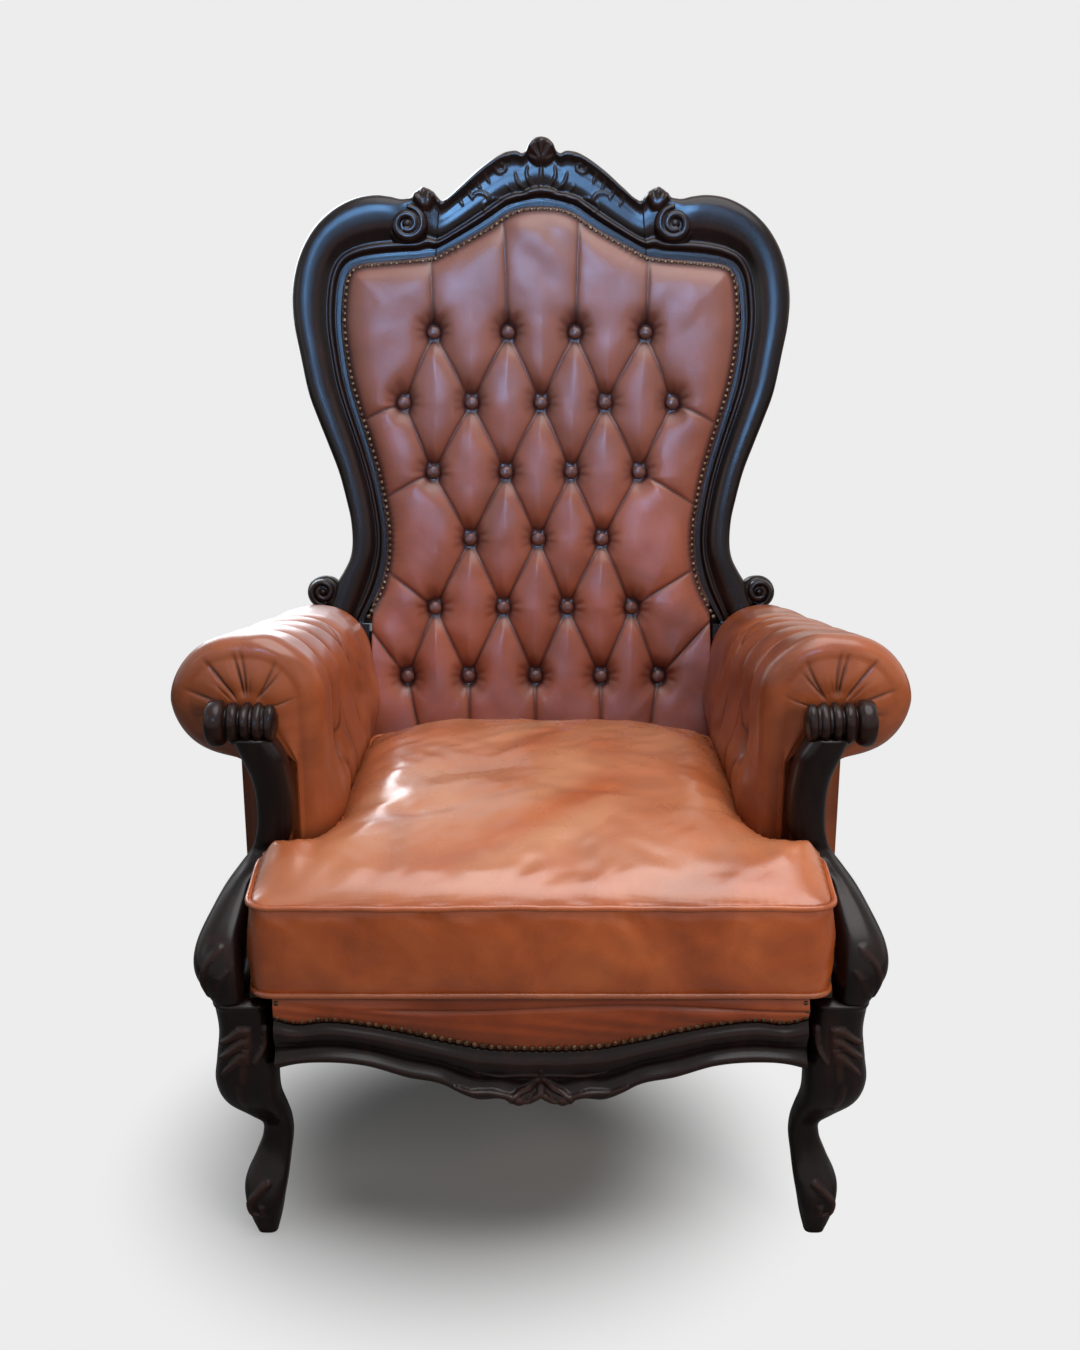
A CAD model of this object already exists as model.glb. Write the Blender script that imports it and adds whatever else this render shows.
import bpy, bmesh, math
import numpy as np
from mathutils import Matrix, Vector


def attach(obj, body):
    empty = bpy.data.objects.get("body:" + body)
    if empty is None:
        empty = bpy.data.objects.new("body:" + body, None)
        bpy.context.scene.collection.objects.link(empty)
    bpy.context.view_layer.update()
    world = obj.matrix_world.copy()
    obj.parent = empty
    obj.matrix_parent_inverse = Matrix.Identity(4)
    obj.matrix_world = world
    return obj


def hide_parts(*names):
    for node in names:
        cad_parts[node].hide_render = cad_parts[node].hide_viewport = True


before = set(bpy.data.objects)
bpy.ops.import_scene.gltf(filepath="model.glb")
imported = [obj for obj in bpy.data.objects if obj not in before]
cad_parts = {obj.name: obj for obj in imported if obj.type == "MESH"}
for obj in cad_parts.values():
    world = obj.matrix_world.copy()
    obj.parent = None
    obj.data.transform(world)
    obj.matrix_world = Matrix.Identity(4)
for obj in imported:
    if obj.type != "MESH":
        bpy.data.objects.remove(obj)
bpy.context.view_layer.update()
scene = bpy.context.scene
scene.view_settings.view_transform = "Standard"

mm = 0.001
lean = math.radians(13)
backFoot = (200, 400)  # y and z of the back plane's foot, in mm
sides = ("right", "left")


def onBack(x, s, h):  # x across, s up the leaning back, h towards the sitter, all in mm
    y = backFoot[0] * mm + (s * math.sin(lean) - h * math.cos(lean)) * mm
    z = backFoot[1] * mm + (s * math.cos(lean) + h * math.sin(lean)) * mm
    return np.stack(np.broadcast_arrays(x * mm, y, z), axis=-1)


def backLine(z, ahead):  # y of a plane that lies this far ahead of the leaning back, in mm
    return backFoot[0] + (z - backFoot[1]) * math.tan(lean) - ahead / math.cos(lean)


def keyed(keys, at):  # smooth curve through rows of (place, value, value...)
    keys = np.asarray(keys, float)
    t, p = keys[:, 0], keys[:, 1:]
    slope = np.gradient(p, t, axis=0)
    at = np.clip(np.asarray(at, float), t[0], t[-1])
    i = np.clip(np.searchsorted(t, at, side="right") - 1, 0, len(t) - 2)
    span = (t[i + 1] - t[i])[..., None]
    f = (at - t[i])[..., None] / span
    return ((2 * f**3 - 3 * f**2 + 1) * p[i] + (f**3 - 2 * f**2 + f) * span * slope[i]
            + (3 * f**2 - 2 * f**3) * p[i + 1] + (f**3 - f**2) * span * slope[i + 1])


def lengths(points):
    return np.concatenate([[0], np.cumsum(np.linalg.norm(np.diff(points, axis=0), axis=1))])


def evenly(points, count):  # the same line with evenly spaced points
    d = lengths(points)
    at = np.linspace(0, d[-1], count)
    return np.stack([np.interp(at, d, points[:, k]) for k in range(points.shape[1])], axis=1)


def lineThrough(points, count):
    points = np.asarray(points, float)
    d = lengths(points)
    fine = keyed(np.column_stack([d, points]), np.linspace(0, d[-1], count * 4))
    return evenly(fine, count)


def smoothStep(a, b, x):
    f = np.clip((x - a) / (b - a), 0, 1)
    return f * f * (3 - 2 * f)


def stroke(x, y, path, wide, narrow, height, count=40):  # rounded ridge that tapers along its path
    best = np.zeros(np.shape(x))
    for k, (px, py) in enumerate(lineThrough(path, count)):
        w = wide + (narrow - wide) * (k / (count - 1))
        dome = np.sqrt(np.clip(1 - ((x - px)**2 + (y - py)**2) / w**2, 0, 1))
        best = np.maximum(best, dome * (0.6 + 0.4 * w / wide))
    return best * height


def carved(x, y, strokes, scale=1.0):  # the highest of several ridges
    return np.maximum.reduce([stroke(x, y, path, wide, narrow, height * scale)
                              for path, wide, narrow, height in strokes])


def toPoints(x, y, points):  # distance to the nearest of several points
    best = np.full(np.shape(x), 1e9)
    for px, py in points:
        best = np.minimum(best, np.hypot(x - px, y - py))
    return best


def toSegment(x, y, a, b):  # distance to a straight piece, and how far along it
    ax, ay = a
    dx, dy = b[0] - ax, b[1] - ay
    t = np.clip(((x - ax) * dx + (y - ay) * dy) / (dx * dx + dy * dy), 0, 1)
    return np.hypot(x - ax - t * dx, y - ay - t * dy), t


def ripples(x, y, size, seed, count=10):  # soft irregular waves, about -1 to 1
    rng = np.random.default_rng(seed)
    total = np.zeros(np.shape(x))
    wx = x + size * 0.35 * np.sin(y / size * 2.1 + seed)
    wy = y + size * 0.35 * np.sin(x / size * 1.7 + seed * 2)
    for _ in range(count):
        turn = rng.uniform(0, math.tau)
        step = size * rng.uniform(0.6, 1.6)
        run = (wx * math.cos(turn) + wy * math.sin(turn)) * math.tau / step
        total += np.sin(run + rng.uniform(0, math.tau))
    return total / math.sqrt(count * 2)


def gridFaces(rows, cols, closed=False):
    last = cols if closed else cols - 1
    r, c = np.meshgrid(np.arange(rows - 1), np.arange(last), indexing="ij")
    d = (c + 1) % cols
    quads = np.stack([r * cols + c, r * cols + d, (r + 1) * cols + d, (r + 1) * cols + c], axis=-1)
    return quads.reshape(-1, 4).tolist()


def gridRim(rows, cols):  # the points round a grid's edge, in order
    index = np.arange(rows * cols).reshape(rows, cols)
    return np.concatenate([index[0], index[1:, -1], index[-1, -2::-1], index[-2:0:-1, 0]]).tolist()


def padMarks(values, count):  # a value for each point, with nothing on the last ones
    values = np.ravel(values)
    return np.pad(values, (0, count - len(values)))


def addObject(name, data):
    made = bpy.data.objects.new(name, data)
    scene.collection.objects.link(made)
    return made


def declare(piece, body, solid):
    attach(piece, body)
    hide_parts(solid)


def smoothObject(name, verts, faces, marks, weld):
    mesh = bpy.data.meshes.new(name)
    mesh.from_pydata(np.asarray(verts, float).reshape(-1, 3).tolist(), [], faces)
    for key, values in marks.items():
        values = padMarks(values, len(mesh.vertices)).astype(np.float32)
        mesh.attributes.new(key, "FLOAT", "POINT").data.foreach_set("value", values)
    bm = bmesh.new()
    bm.from_mesh(mesh)
    if weld:
        bmesh.ops.remove_doubles(bm, verts=bm.verts, dist=1e-5)
    bmesh.ops.recalc_face_normals(bm, faces=bm.faces)
    for face in bm.faces:
        face.smooth = True
    bm.to_mesh(mesh)
    bm.free()
    return addObject(name, mesh)


def makePiece(name, solid, verts, faces, marks, material, slot, body="chair", weld=True):
    piece = smoothObject(name, verts, faces, marks, weld)
    piece.data.materials.append(material)
    declare(piece, body, solid)
    return piece


def makeSide(side, name, solid, verts, *look):  # shapes are drawn for the right
    verts = verts if side == "right" else mirrored(verts)
    return makePiece(side + name, side + solid, verts, *look)


def cappedTube(rings):  # closed loops joined in a row, with a fan on each end
    rows, cols = rings.shape[:2]
    verts = np.concatenate([rings.reshape(-1, 3), rings[0].mean(0)[None], rings[-1].mean(0)[None]])
    faces = gridFaces(rows, cols, closed=True)
    first, last = rows * cols, rows * cols + 1
    for c in range(cols):
        d = (c + 1) % cols
        faces.append([first, d, c])
        faces.append([last, (rows - 1) * cols + c, (rows - 1) * cols + d])
    return verts, faces


def joinMeshes(*parts):  # several (verts, faces, marks) as one
    verts, faces, marks, start = [], [], [], 0
    for v, f, m in parts:
        verts.append(v)
        faces += [[k + start for k in face] for face in f]
        marks.append(padMarks(m, len(v)))
        start += len(v)
    return np.concatenate(verts), faces, np.concatenate(marks)


def mirrored(points):  # the left half's points, from those of the right half
    return points * np.array([-1, 1, 1][:points.shape[-1]])


def sideways(tangent):  # unit vectors at right angles to a flat line
    across = np.column_stack([tangent[:, 1], -tangent[:, 0]])
    return across / np.linalg.norm(across, axis=1, keepdims=True)


def loopNormals(g):  # normals of a grid that is closed along its columns
    n = np.cross(np.roll(g, -1, 1) - np.roll(g, 1, 1), np.gradient(g, axis=0))
    return n / np.maximum(np.linalg.norm(n, axis=2, keepdims=True), 1e-12)


def newMaterial(name):
    material = bpy.data.materials.new(name)
    material.use_nodes = True
    tree = material.node_tree
    return material, tree, tree.nodes["Principled BSDF"], node(tree, "ShaderNodeTexCoord").outputs["Object"]


def node(tree, kind, inputs=None, **settings):
    made = tree.nodes.new(kind)
    for key, value in settings.items():
        setattr(made, key, value)
    for key, value in (inputs or {}).items():
        if isinstance(value, bpy.types.NodeSocket):
            tree.links.new(value, made.inputs[key])
        else:
            made.inputs[key].default_value = value
    return made


def ramp(tree, factor, stops):
    made = node(tree, "ShaderNodeValToRGB", {"Fac": factor})
    elements = made.color_ramp.elements
    while len(elements) < len(stops):
        elements.new(0.5)
    for element, (place, colour) in zip(elements, stops):
        element.position, element.color = place, (*colour, 1)
    return made.outputs["Color"]


def noise(tree, where, scale, detail=4, rough=0.55, distortion=0.0):
    inputs = {"Vector": where, "Scale": scale, "Detail": detail, "Roughness": rough, "Distortion": distortion}
    return node(tree, "ShaderNodeTexNoise", inputs).outputs["Fac"]


def mapped(tree, value, fromLow, fromHigh, low=0.0, high=1.0, kind="LINEAR"):
    inputs = {"Value": value, "From Min": fromLow, "From Max": fromHigh, "To Min": low, "To Max": high}
    return node(tree, "ShaderNodeMapRange", inputs, interpolation_type=kind).outputs["Result"]


def attribute(tree, name):
    return node(tree, "ShaderNodeAttribute", attribute_name=name).outputs["Fac"]


def setInputs(shader, values):
    for key, value in values.items():
        shader.inputs[key].default_value = value


def mixColour(tree, factor, a, b):  # a colour is a socket or red, green and blue
    a, b = ((*c, 1) if isinstance(c, tuple) else c for c in (a, b))
    return node(tree, "ShaderNodeMix", {0: factor, 6: a, 7: b}, data_type="RGBA").outputs[2]


def maths(tree, operation, a, b, clamp=False):
    return node(tree, "ShaderNodeMath", {0: a, 1: b}, operation=operation, use_clamp=clamp).outputs[0]


def mixShaders(tree, factor, first, second, target):
    mix = node(tree, "ShaderNodeMixShader", {0: factor, 1: first.outputs[0], 2: second.outputs[0]})
    tree.links.new(mix.outputs[0], tree.nodes[target].inputs["Surface"])


def bumped(tree, shader, heights):  # several heights, coarse first: (height, distance in metres, strength)
    normal = None
    for height, distance, strength in heights:
        made = node(tree, "ShaderNodeBump", {"Height": height, "Distance": distance, "Strength": strength})
        if normal:
            tree.links.new(normal, made.inputs["Normal"])
        normal = made.outputs["Normal"]
    tree.links.new(normal, shader.inputs["Normal"])


leatherGrain = dict(mottle=9, speck=60, patch=14, pore=620, crease=45, dent=16)


def leather(name, look):
    material, tree, shader, where = newMaterial(name)
    mottle = noise(tree, where, leatherGrain["mottle"], 5, 0.6, 0.8)
    speck = noise(tree, where, leatherGrain["speck"], 4, 0.6)
    base = ramp(tree, mottle, [(0.30, look["dark"]), (0.52, look["mid"]), (0.72, look["light"])])
    if "high" in look:  # the leather's tone changes up the back
        height = node(tree, "ShaderNodeSeparateXYZ", {"Vector": where}).outputs["Z"]
        base = mixColour(tree, mapped(tree, height, look["lowAt"], look["highAt"]), base, look["high"])
    base = mixColour(tree, maths(tree, "MULTIPLY", speck, 0.22), base, look["dark"])
    fold = maths(tree, "MULTIPLY", attribute(tree, "fold"), look["foldDepth"], True)
    base = mixColour(tree, fold, base, look["fold"])
    base = mixColour(tree, maths(tree, "MULTIPLY", attribute(tree, "rub"), 0.6, True), base, look["worn"])
    tree.links.new(base, shader.inputs["Base Color"])
    patch = noise(tree, where, leatherGrain["patch"], 4, 0.6, 0.5)
    tree.links.new(mapped(tree, patch, 0.3, 0.7, *look["gloss"]), shader.inputs["Roughness"])
    setInputs(shader, {"Coat Weight": look["coat"], "Coat Roughness": look["coatRough"], "Specular IOR Level": 0.36})
    pores = node(tree, "ShaderNodeTexVoronoi", {"Vector": where, "Scale": leatherGrain["pore"]}).outputs["Distance"]
    crease = noise(tree, where, leatherGrain["crease"], 5, 0.62, 1.2)
    dents = noise(tree, where, leatherGrain["dent"], 3, 0.5, 0.6)
    bumped(tree, shader, [(dents, 0.004, look["dents"]), (crease, 0.0012, look["crease"]), (pores, 0.0004, 0.22)])
    return material


leatherLooks = {
    "backLeather": dict(dark=(0.170, 0.045, 0.022), mid=(0.250, 0.065, 0.033), light=(0.320, 0.088, 0.046),
                        fold=(0.024, 0.006, 0.006), worn=(0.52, 0.26, 0.18), foldDepth=1.0, gloss=(0.36, 0.48),
                        coat=0.12, coatRough=0.3, crease=0.02, dents=0.08,
                        high=(0.175, 0.078, 0.064), lowAt=0.60, highAt=1.15),
    "armLeather": dict(dark=(0.180, 0.044, 0.014), mid=(0.300, 0.074, 0.024), light=(0.380, 0.105, 0.036),
                       fold=(0.018, 0.005, 0.003), worn=(0.45, 0.20, 0.10), foldDepth=1.0, gloss=(0.28, 0.40),
                       coat=0.25, coatRough=0.2, crease=0.02, dents=0.08),
    "seatLeather": dict(dark=(0.270, 0.053, 0.011), mid=(0.400, 0.084, 0.018), light=(0.500, 0.125, 0.032),
                        fold=(0.060, 0.014, 0.006), worn=(0.60, 0.30, 0.16), foldDepth=0.9, gloss=(0.22, 0.36),
                        coat=0.4, coatRough=0.21, crease=0.010, dents=0.10),
}
leatherLooks["buttonLeather"] = dict(
    leatherLooks["backLeather"], dark=(0.06, 0.018, 0.011), mid=(0.10, 0.032, 0.020), light=(0.15, 0.052, 0.034),
    high=(0.08, 0.034, 0.032), dents=0.0, gloss=(0.3, 0.4))
leatherLooks["borderLeather"] = dict(
    leatherLooks["seatLeather"], dark=(0.18, 0.031, 0.006), mid=(0.28, 0.050, 0.010), light=(0.36, 0.078, 0.018),
    gloss=(0.30, 0.44), coat=0.25)
backLeather, armLeather, seatLeather, buttonLeather, borderLeather = (
    leather(name, look) for name, look in leatherLooks.items())

woodGrain = dict(figure=26, cloud=7, pore=160)


def wood(name, look):
    material, tree, shader, where = newMaterial(name)
    stretched = node(tree, "ShaderNodeMapping", {"Vector": where, "Scale": look["stretch"]}).outputs["Vector"]
    grain = noise(tree, stretched, woodGrain["figure"], 8, 0.65, 1.4)
    cloud = noise(tree, where, woodGrain["cloud"], 4, 0.6)
    base = ramp(tree, grain, [(0.32, look["dark"]), (0.55, look["mid"]), (0.78, look["light"])])
    base = mixColour(tree, maths(tree, "MULTIPLY", cloud, 0.6), base, look["dark"])
    base = mixColour(tree, maths(tree, "MULTIPLY", attribute(tree, "rub"), 0.4, True), base, look["worn"])
    tree.links.new(base, shader.inputs["Base Color"])
    tree.links.new(mapped(tree, cloud, 0.3, 0.7, *look["gloss"]), shader.inputs["Roughness"])
    setInputs(shader, {"Coat Weight": look["coat"], "Coat Roughness": 0.16, "Specular IOR Level": 0.18})
    pores = noise(tree, stretched, woodGrain["pore"], 3, 0.5)
    bumped(tree, shader, [(cloud, 0.003, 0.18), (grain, 0.0005, look["bump"]), (pores, 0.0002, look["bump"])])
    return material


showWood = wood("showWood", dict(
    dark=(0.004, 0.0022, 0.002), mid=(0.010, 0.0042, 0.0036), light=(0.028, 0.010, 0.0065),
    worn=(0.060, 0.022, 0.014), gloss=(0.24, 0.38), coat=0.09, bump=0.2, stretch=(1, 1, 0.12)))
rawWood = wood("rawWood", dict(
    dark=(0.11, 0.06, 0.032), mid=(0.20, 0.12, 0.065), light=(0.30, 0.19, 0.11),
    worn=(0.3, 0.2, 0.12), gloss=(0.6, 0.8), coat=0.0, bump=0.5, stretch=(0.15, 1, 1)))


def cloth(name, look):
    material, tree, shader, where = newMaterial(name)
    threads = {"Vector": where, "Scale": look["threads"], "Distortion": 0.6}
    weave = maths(tree, "MAXIMUM", *(node(tree, "ShaderNodeTexWave", threads, bands_direction=way).outputs["Fac"]
                                     for way in ("X", "Y")))
    base = ramp(tree, weave, [(0.2, look["dark"]), (0.8, look["light"])])
    base = mixColour(tree, maths(tree, "MULTIPLY", noise(tree, where, 30), 0.5), base, look["dark"])
    tree.links.new(base, shader.inputs["Base Color"])
    setInputs(shader, {"Roughness": 0.9})
    bumped(tree, shader, [(weave, 0.0006, 0.6)])
    return material


webbing = cloth("webbing", dict(threads=180, dark=(0.16, 0.12, 0.075), light=(0.32, 0.26, 0.17)))
deckCloth = cloth("deckCloth", dict(threads=420, dark=(0.020, 0.014, 0.010), light=(0.055, 0.040, 0.030)))


def brass(name, look):
    material, tree, shader, where = newMaterial(name)
    tarnish = noise(tree, where, look["tarnish"], 3)
    base = ramp(tree, tarnish, [(0.35, look["dark"]), (0.65, look["light"])])
    tree.links.new(base, shader.inputs["Base Color"])
    tree.links.new(mapped(tree, tarnish, 0.0, 1.0, *look["gloss"]), shader.inputs["Roughness"])
    setInputs(shader, {"Metallic": 0.8})
    bumped(tree, shader, [(tarnish, 0.0003, 0.3)])
    return material


antiqueBrass = brass("antiqueBrass", dict(
    tarnish=220, dark=(0.030, 0.016, 0.010), light=(0.16, 0.095, 0.050), gloss=(0.5, 0.28)))
print("materials made")

backFrame = dict(
    behind=26, relief=16, across=46,
    # place along the half frame from the crest's middle, then across and up
    outer=[(0.00, 0, 820), (0.08, 9, 818), (0.16, 17, 810), (0.22, 20, 803), (0.29, 26, 798), (0.37, 34, 801),
           (0.47, 46, 800), (0.62, 62, 793), (0.80, 86, 776), (1.05, 114, 751), (1.28, 133, 735), (1.34, 138, 733),
           (1.40, 143, 738), (1.48, 152, 747), (1.59, 164, 751), (1.70, 174, 745), (1.76, 179, 739),
           (1.86, 190, 736), (2.10, 210, 739), (2.30, 228, 741), (2.60, 257, 737), (2.95, 289, 721),
           (3.25, 312, 700), (3.60, 331, 670), (3.95, 342, 637), (4.20, 346, 610), (4.60, 345, 571),
           (5.10, 336, 522), (5.60, 325, 470), (6.10, 311, 431), (6.50, 298, 398), (7.00, 283, 358),
           (7.45, 273, 320), (7.80, 267, 292), (8.15, 265, 262), (8.50, 268, 240), (8.85, 277, 221),
           (9.10, 286, 206), (9.40, 293, 190), (9.70, 298, 168), (10.0, 299, 147)],
    inner=[(0.00, 0, 725), (0.22, 22, 723.5), (0.46, 44, 717), (0.80, 76, 696), (1.05, 106, 679), (1.36, 146, 658),
           (1.60, 158, 655.5), (1.86, 171, 654), (2.10, 188, 652.5), (2.30, 204, 651), (2.60, 226, 649),
           (2.95, 247, 646.5), (3.25, 261, 642), (3.60, 270, 632), (3.95, 275, 615), (4.20, 277, 597),
           (4.60, 278.5, 565), (5.10, 275, 525), (5.60, 269, 488), (6.10, 260, 453), (6.50, 251, 424),
           (7.00, 240, 388), (7.45, 230, 352), (7.80, 223, 317), (8.15, 218, 284), (8.50, 217, 256),
           (8.85, 219, 232), (9.10, 222.5, 214), (9.40, 229, 194), (9.70, 240, 172), (10.0, 254, 147)],
    # height of the moulding from the outer edge inwards: on the wings, then on the crest
    wing=[(0.00, 0.20), (0.025, 0.55), (0.06, 0.76), (0.13, 0.93), (0.24, 1.00), (0.36, 0.97), (0.47, 0.88),
          (0.56, 0.72), (0.63, 0.50), (0.69, 0.34), (0.725, 0.33), (0.745, 0.50), (0.785, 0.58), (0.825, 0.48),
          (0.85, 0.27), (0.92, 0.22), (1.00, 0.20)],
    crest=[(0.00, 0.22), (0.035, 0.60), (0.08, 0.74), (0.14, 0.62), (0.20, 0.50), (0.40, 0.46), (0.60, 0.42),
           (0.66, 0.34), (0.72, 0.30), (0.745, 0.50), (0.785, 0.62), (0.825, 0.50), (0.85, 0.27), (0.92, 0.22),
           (0.96, 0.21), (1.00, 0.20)],
    crestEnds=(1.15, 2.3), joint=1.36, nailInset=5.5,
    # ridges carved on half the crest: path, width at its start and at its end, height
    spray=[
        ([(0, 738), (0, 756), (0, 780)], 5, 2, 5.0), ([(2, 742), (12, 752), (20, 768), (19, 778)], 4.5, 1.6, 4.2),
        ([(3, 742), (18, 746), (32, 757), (36, 768)], 4.5, 1.6, 3.8),
        ([(4, 739), (22, 738), (38, 744), (46, 752)], 4, 1.5, 3.4),
        ([(1, 733), (14, 730), (30, 730), (52, 735), (70, 733), (80, 724), (74, 716), (67, 721)], 3.6, 1.6, 4.2),
        ([(70, 733), (78, 741), (90, 742), (96, 735)], 3.4, 1.5, 3.4),
        ([(46, 790), (60, 788), (66, 778), (57, 770), (49, 776), (54, 781)], 4.2, 2.0, 5.0),
        ([(60, 788), (78, 775), (96, 759), (116, 742), (130, 731)], 4.6, 2.2, 4.6),
        ([(70, 775), (76, 766), (72, 758)], 4.5, 1.8, 3.8), ([(82, 766), (88, 757), (84, 749)], 4.5, 1.8, 3.8),
        ([(95, 755), (101, 746), (97, 738)], 4.5, 1.8, 3.6), ([(107, 744), (113, 735), (109, 727)], 4.2, 1.8, 3.2),
    ],
    # small three-lobed leaf where the crest meets the shoulder
    leaf=[([(158, 726), (150, 737), (148, 744)], 7, 3.5, 6.5), ([(160, 726), (162, 740), (163, 749)], 7, 3.5, 6.5),
          ([(162, 726), (172, 735), (176, 741)], 7, 3.5, 6.5)],
)


def frameEdges(place):
    return keyed(backFrame["outer"], place), keyed(backFrame["inner"], place)


def crestCarving(x, s):  # shell, leaf spray, edge scrolls and the brace line, for one half
    x = np.abs(x)
    fan = np.clip(1 - np.hypot(x / 21, (s - 800) / 20)**2, 0, 1)
    shell = np.sqrt(fan) * (8.5 + 1.6 * np.cos(np.arctan2(x, s - 786) * 9))
    return np.maximum(shell, carved(x, s, backFrame["spray"], 0.32))


def mouldedFrame(places):  # front surface and back of one run of the frame, as closed loops
    outer, inner = frameEdges(places)
    even = np.linspace(0, 1, backFrame["across"])
    across = 0.6 * (0.5 - 0.5 * np.cos(even * math.pi)) + 0.4 * even
    blend = smoothStep(*backFrame["crestEnds"], places)[:, None]
    wing, crest = (keyed(backFrame[key], across)[:, 0] for key in ("wing", "crest"))
    x, s = (outer[:, k:k + 1] + (inner[:, k:k + 1] - outer[:, k:k + 1]) * across for k in (0, 1))
    bead = np.exp(-((across - 0.785) / 0.03)**2) + 0.8 * np.exp(-((across - 0.5) / 0.05)**2) * blend
    relief = crestCarving(x, s) * (1 - blend) * smoothStep(0.95, 0.70, across) + carved(x, s, backFrame["leaf"])
    rub = np.clip(bead * 0.5 + relief / 14 + 0.4 * np.exp(-(across / 0.06)**2), 0, 1)
    front = onBack(x, s, (wing * blend + crest * (1 - blend)) * backFrame["relief"] + relief)
    behind, rear = backFrame["behind"], []
    for near, far, way in ((inner, outer, 1), (outer, inner, -1)):
        for share, depth in ((0.0, -behind * 0.5), (0.0, 3 - behind), (0.05, -behind))[::way]:
            rear.append(onBack(*(near + (far - near) * share).T, depth))
    loops = np.concatenate([front, np.stack(rear, axis=1)], axis=1)
    return loops, np.pad(rub, ((0, 0), (0, len(rear))))


volutes = dict(
    crest=dict(at=(185, 699), radius=31, start=90, turns=1.6, base=25, rise=4.5, close=0.34),
    foot=dict(at=(305, 191), radius=23.5, start=-100, turns=1.45, base=26, rise=7, close=0.34),
    neck=dict(at=(283, 181), radius=22, start=-100, turns=0.0, base=24, rise=0, close=0.34),
)


def voluteMesh(look):  # a round boss with a spiral band carved on its face
    turn = np.linspace(0, math.tau, 120, endpoint=False)[None]
    r = np.linspace(0, 1, 44)[:, None] * np.ones_like(turn)
    ridge = np.sqrt(np.clip(1 - (r / 0.20)**2, 0, 1))  # the eye
    for lap in range(3):
        run = (turn - math.radians(look["start"])) % math.tau / math.tau + lap
        centre = 0.86 * look["close"]**(run / look["turns"] * 1.05)
        wide = 0.19 + 0.01 * (look["turns"] - run)
        ridge = np.maximum(ridge, np.sqrt(np.clip(1 - ((r - centre) / wide)**2, 0, 1)) * (run < look["turns"]))
    high = look["base"] * np.sqrt(np.clip(1 - (r / 1.02)**4, 0, 1)) * 0.55
    high = high + look["rise"] * ridge * np.clip((1.03 - r) * 8, 0, 1)

    def disc(r, high):
        x, s = (at + look["radius"] * r * way(turn) for at, way in zip(look["at"], (np.cos, np.sin)))
        return onBack(x, s, high)

    edge = [disc(k, depth) for k, depth in ((1.0, -4), (1.0, 2 - backFrame["behind"]), (0.94, -backFrame["behind"]))]
    return *cappedTube(np.concatenate([disc(r, high), *edge])), np.clip(ridge - 0.5, 0, 1) * 0.5


def placesAlong(low, high, count):  # places spread by length, closer where the edge turns
    fine = np.linspace(low, high, 1200)
    outer, inner = frameEdges(fine)
    step = np.maximum(lengths(outer), 1e-6) + lengths((outer + inner) / 2)
    return np.interp(np.linspace(0, step[-1], count), step, fine)


def buildBackFrame():
    loops, rub = mouldedFrame(placesAlong(backFrame["joint"], 10.0, 340))
    verts, faces, rub = joinMeshes((*cappedTube(loops), rub), *map(voluteMesh, volutes.values()))
    for side in sides:
        makeSide(side, "Wing", "_back_stile", verts, faces, {"rub": rub}, showWood, "carved_wood")
    loops, rub = mouldedFrame(placesAlong(0.0, backFrame["joint"], 150))
    verts, faces = cappedTube(np.concatenate([mirrored(loops[:0:-1]), loops]))
    rub = np.concatenate([rub[:0:-1], rub])
    makePiece("carvedCrest", "crest_rail", verts, faces, {"rub": rub}, showWood, "carved_wood")


buildBackFrame()
print("back frame carved")

tufting = dict(
    rows=[(551, (-149, -46, 47, 145)), (454, (-191, -97, 0, 89, 183)), (358, (-151, -49, 42, 137)),
          (265, (-99, -4, 85)), (169, (-149, -53, 36, 127)), (72, (-188, -102, -8, 84, 165))],
    # pleats that run from an outer button to the edge
    tails=[((-149, 551), (-154, 700)), ((-46, 551), (-53, 740)), ((47, 551), (54, 740)), ((145, 551), (151, 700)),
           ((-191, 454), (-300, 408)), ((183, 454), (300, 400)), ((-151, 358), (-260, 300)), ((137, 358), (250, 292)),
           ((-149, 169), (-250, 246)), ((127, 169), (250, 246)), ((-188, 72), (-262, 168)), ((165, 72), (258, 172)),
           ((-188, 72), (-168, -20)), ((-102, 72), (-98, -90)), ((-8, 72), (-8, -90)), ((84, 72), (84, -90)),
           ((165, 72), (150, -20))],
    crown=26, edgeHeight=5.5, pit=11, pitWidth=13, pitFloor=8, creaseDepth=9, creaseWidth=17, tailDepth=4.0,
    tailWidth=9, rear=-20.0,
    # outline: half width at the foot, what it may grow to and up to where, widest half, level where the top begins
    columns=250, rowsUp=330, low=-96, foot=(237, 237, 200), widest=279, topFrom=600, beyond=640, start=230,
)


def buttonPlaces():
    return [(x, s) for s, row in tufting["rows"] for x in row]


def pleatLines():  # from each button to the nearest two of the row below
    lines = []
    for (s1, above), (s2, below) in zip(tufting["rows"], tufting["rows"][1:]):
        for xa in above:
            near = sorted(below, key=lambda xb: abs(xb - xa))[:2]
            lines += [((xa, s1), (xb, s2)) for xb in near if 25 < abs(xb - xa) < 72]
    return lines


def openingEdge(count):  # nailed line round the leather, right side, from the foot up to the crest's middle
    return frameEdges(placesAlong(0.0, 10.0, count)[::-1])[1]


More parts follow.
